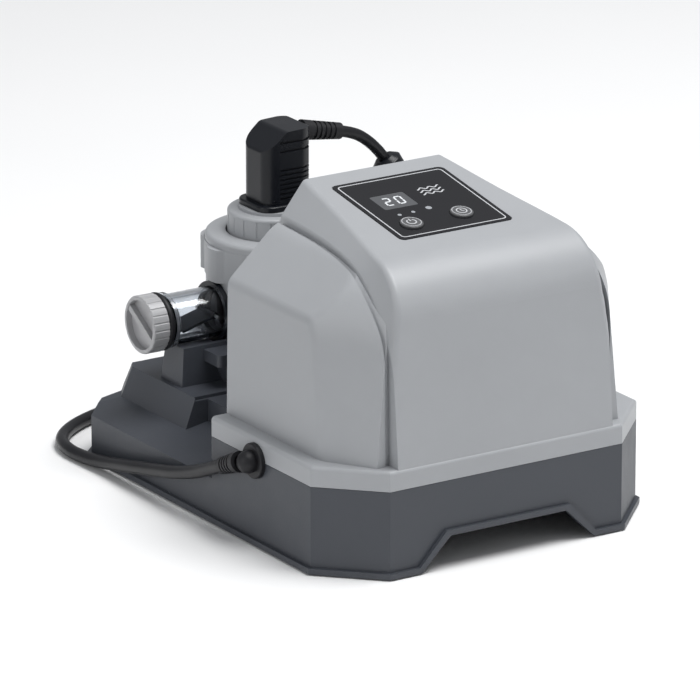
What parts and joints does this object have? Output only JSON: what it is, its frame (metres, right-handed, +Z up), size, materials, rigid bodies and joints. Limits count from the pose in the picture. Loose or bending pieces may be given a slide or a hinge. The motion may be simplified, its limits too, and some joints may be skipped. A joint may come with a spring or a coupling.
{
  "type": "salt chlorine generator",
  "caption": "Free-standing pool salt chlorinator: grey control housing on a dark base tray, with a flow-through chlorine cell, lock nut, capped ports and leads.",
  "frame": {"origin": "on the ground, under the middle of the base tray's bounding box, free leads left out", "axes": "+Z up; the control panel faces -Y; +X is to the right seen from the front, along the cell's cross tube"},
  "size_m": [0.3186, 0.449, 0.2045],
  "materials": {
    "light_shell": "satin moulded plastic",
    "dark_shell": "fine textured moulded plastic",
    "rubber": "matte",
    "label": "gloss film",
    "key": "satin membrane",
    "display": "matte",
    "window": "clear tinted",
    "lamp": "diffuse lens",
    "board": "solder resist",
    "black_plastic": "satin",
    "steel": "zinc plated",
    "iron": "varnished laminations",
    "aluminium": "extruded",
    "terminal": "matte",
    "clear": "clear polycarbonate",
    "white_plastic": "matte",
    "smoky": "translucent grey",
    "titanium": "coated titanium",
    "cord": "satin sheath"
  },
  "bodies": {
    "root": {"base_tray": "dark_shell", "rubber_feet": "rubber", "front_shell": "light_shell", "rear_cover": "light_shell", "panel_label": "label", "housing_screws": "steel", "display_board": "board", "display_module": "display", "display_window": "window", "indicator_lamps": "lamp", "tact_switches": "black_plastic", "power_board": "board", "transformer": "iron", "heat_sink": "aluminium", "capacitors": "black_plastic", "relay": "black_plastic", "fuse_holder": "black_plastic", "terminal_block": "terminal", "board_screws": "steel", "cell_canister": "light_shell", "left_tube": "clear", "right_tube": "clear", "left_coupling_ring": "black_plastic", "right_coupling_ring": "black_plastic", "cell_bracket": "dark_shell", "bracket_screws": "steel", "cartridge_head": "light_shell", "cartridge_seal": "rubber", "electrode_plates": "titanium", "plate_combs": "white_plastic", "terminal_pins": "titanium", "flap_pin": "steel", "mains_grommet": "rubber", "lead_grommet": "rubber", "mains_boot": "rubber", "lead_boot": "rubber", "cell_plug": "black_plastic", "plug_boot": "rubber", "cell_lead": "cord", "mains_cord": "cord", "mains_tail": "cord", "mains_coil": "cord", "cord_tie": "rubber", "lead_ferrite": "black_plastic", "mains_plug": "black_plastic", "plug_prongs": "steel"},
    "power_button": {"power_button": "key"},
    "mode_button": {"mode_button": "key"},
    "slip_ring": {"slip_ring": "white_plastic"},
    "lock_nut": {"lock_nut": "light_shell"},
    "left_cap_ring": {"left_cap_ring": "rubber"},
    "left_port_cap": {"left_port_cap": "smoky"},
    "right_cap_ring": {"right_cap_ring": "rubber"},
    "right_port_cap": {"right_port_cap": "smoky"},
    "flow_flap": {"flow_flap": "black_plastic"}
  },
  "joints": [
    {"name": "power_button_press", "type": "slide", "parent": "root", "child": "power_button", "axis": [0, 0.163, -0.9866], "range_m": [0, 0.0012], "stiffness_N_per_m": 300},
    {"name": "mode_button_press", "type": "slide", "parent": "root", "child": "mode_button", "axis": [0, 0.163, -0.9866], "range_m": [0, 0.0012], "stiffness_N_per_m": 300},
    {"name": "slip_ring_lift", "type": "slide", "parent": "root", "child": "slip_ring", "axis": [0, 0, 1], "range_m": [0, 0.006]},
    {"name": "lock_nut_turn", "type": "hinge", "parent": "slip_ring", "child": "lock_nut", "pos_m": [0, 0.106, 0.12], "axis": [0, 0, 1], "range_deg": [0, 541]},
    {"name": "left_ring_slide", "type": "slide", "parent": "root", "child": "left_cap_ring", "axis": [-1, 0, 0], "range_m": [0, 0.004]},
    {"name": "left_cap_turn", "type": "hinge", "parent": "left_cap_ring", "child": "left_port_cap", "pos_m": [-0.09, 0.106, 0.091], "axis": [-1, 0, 0], "range_deg": [0, 722]},
    {"name": "right_ring_slide", "type": "slide", "parent": "root", "child": "right_cap_ring", "axis": [1, 0, 0], "range_m": [0, 0.004]},
    {"name": "right_cap_turn", "type": "hinge", "parent": "right_cap_ring", "child": "right_port_cap", "pos_m": [0.09, 0.106, 0.091], "axis": [1, 0, 0], "range_deg": [0, 722]},
    {"name": "flow_flap_swing", "type": "hinge", "parent": "root", "child": "flow_flap", "pos_m": [-0.05, 0.106, 0.091], "axis": [0, 1, 0], "range_deg": [0, 30]}
  ],
  "couplings": [
    {"joint": "lock_nut_turn", "follows": "slip_ring_lift", "rad_per_m": 1570.8},
    {"joint": "left_cap_turn", "follows": "left_ring_slide", "rad_per_m": 3141.6},
    {"joint": "right_cap_turn", "follows": "right_ring_slide", "rad_per_m": 3141.6}
  ]
}
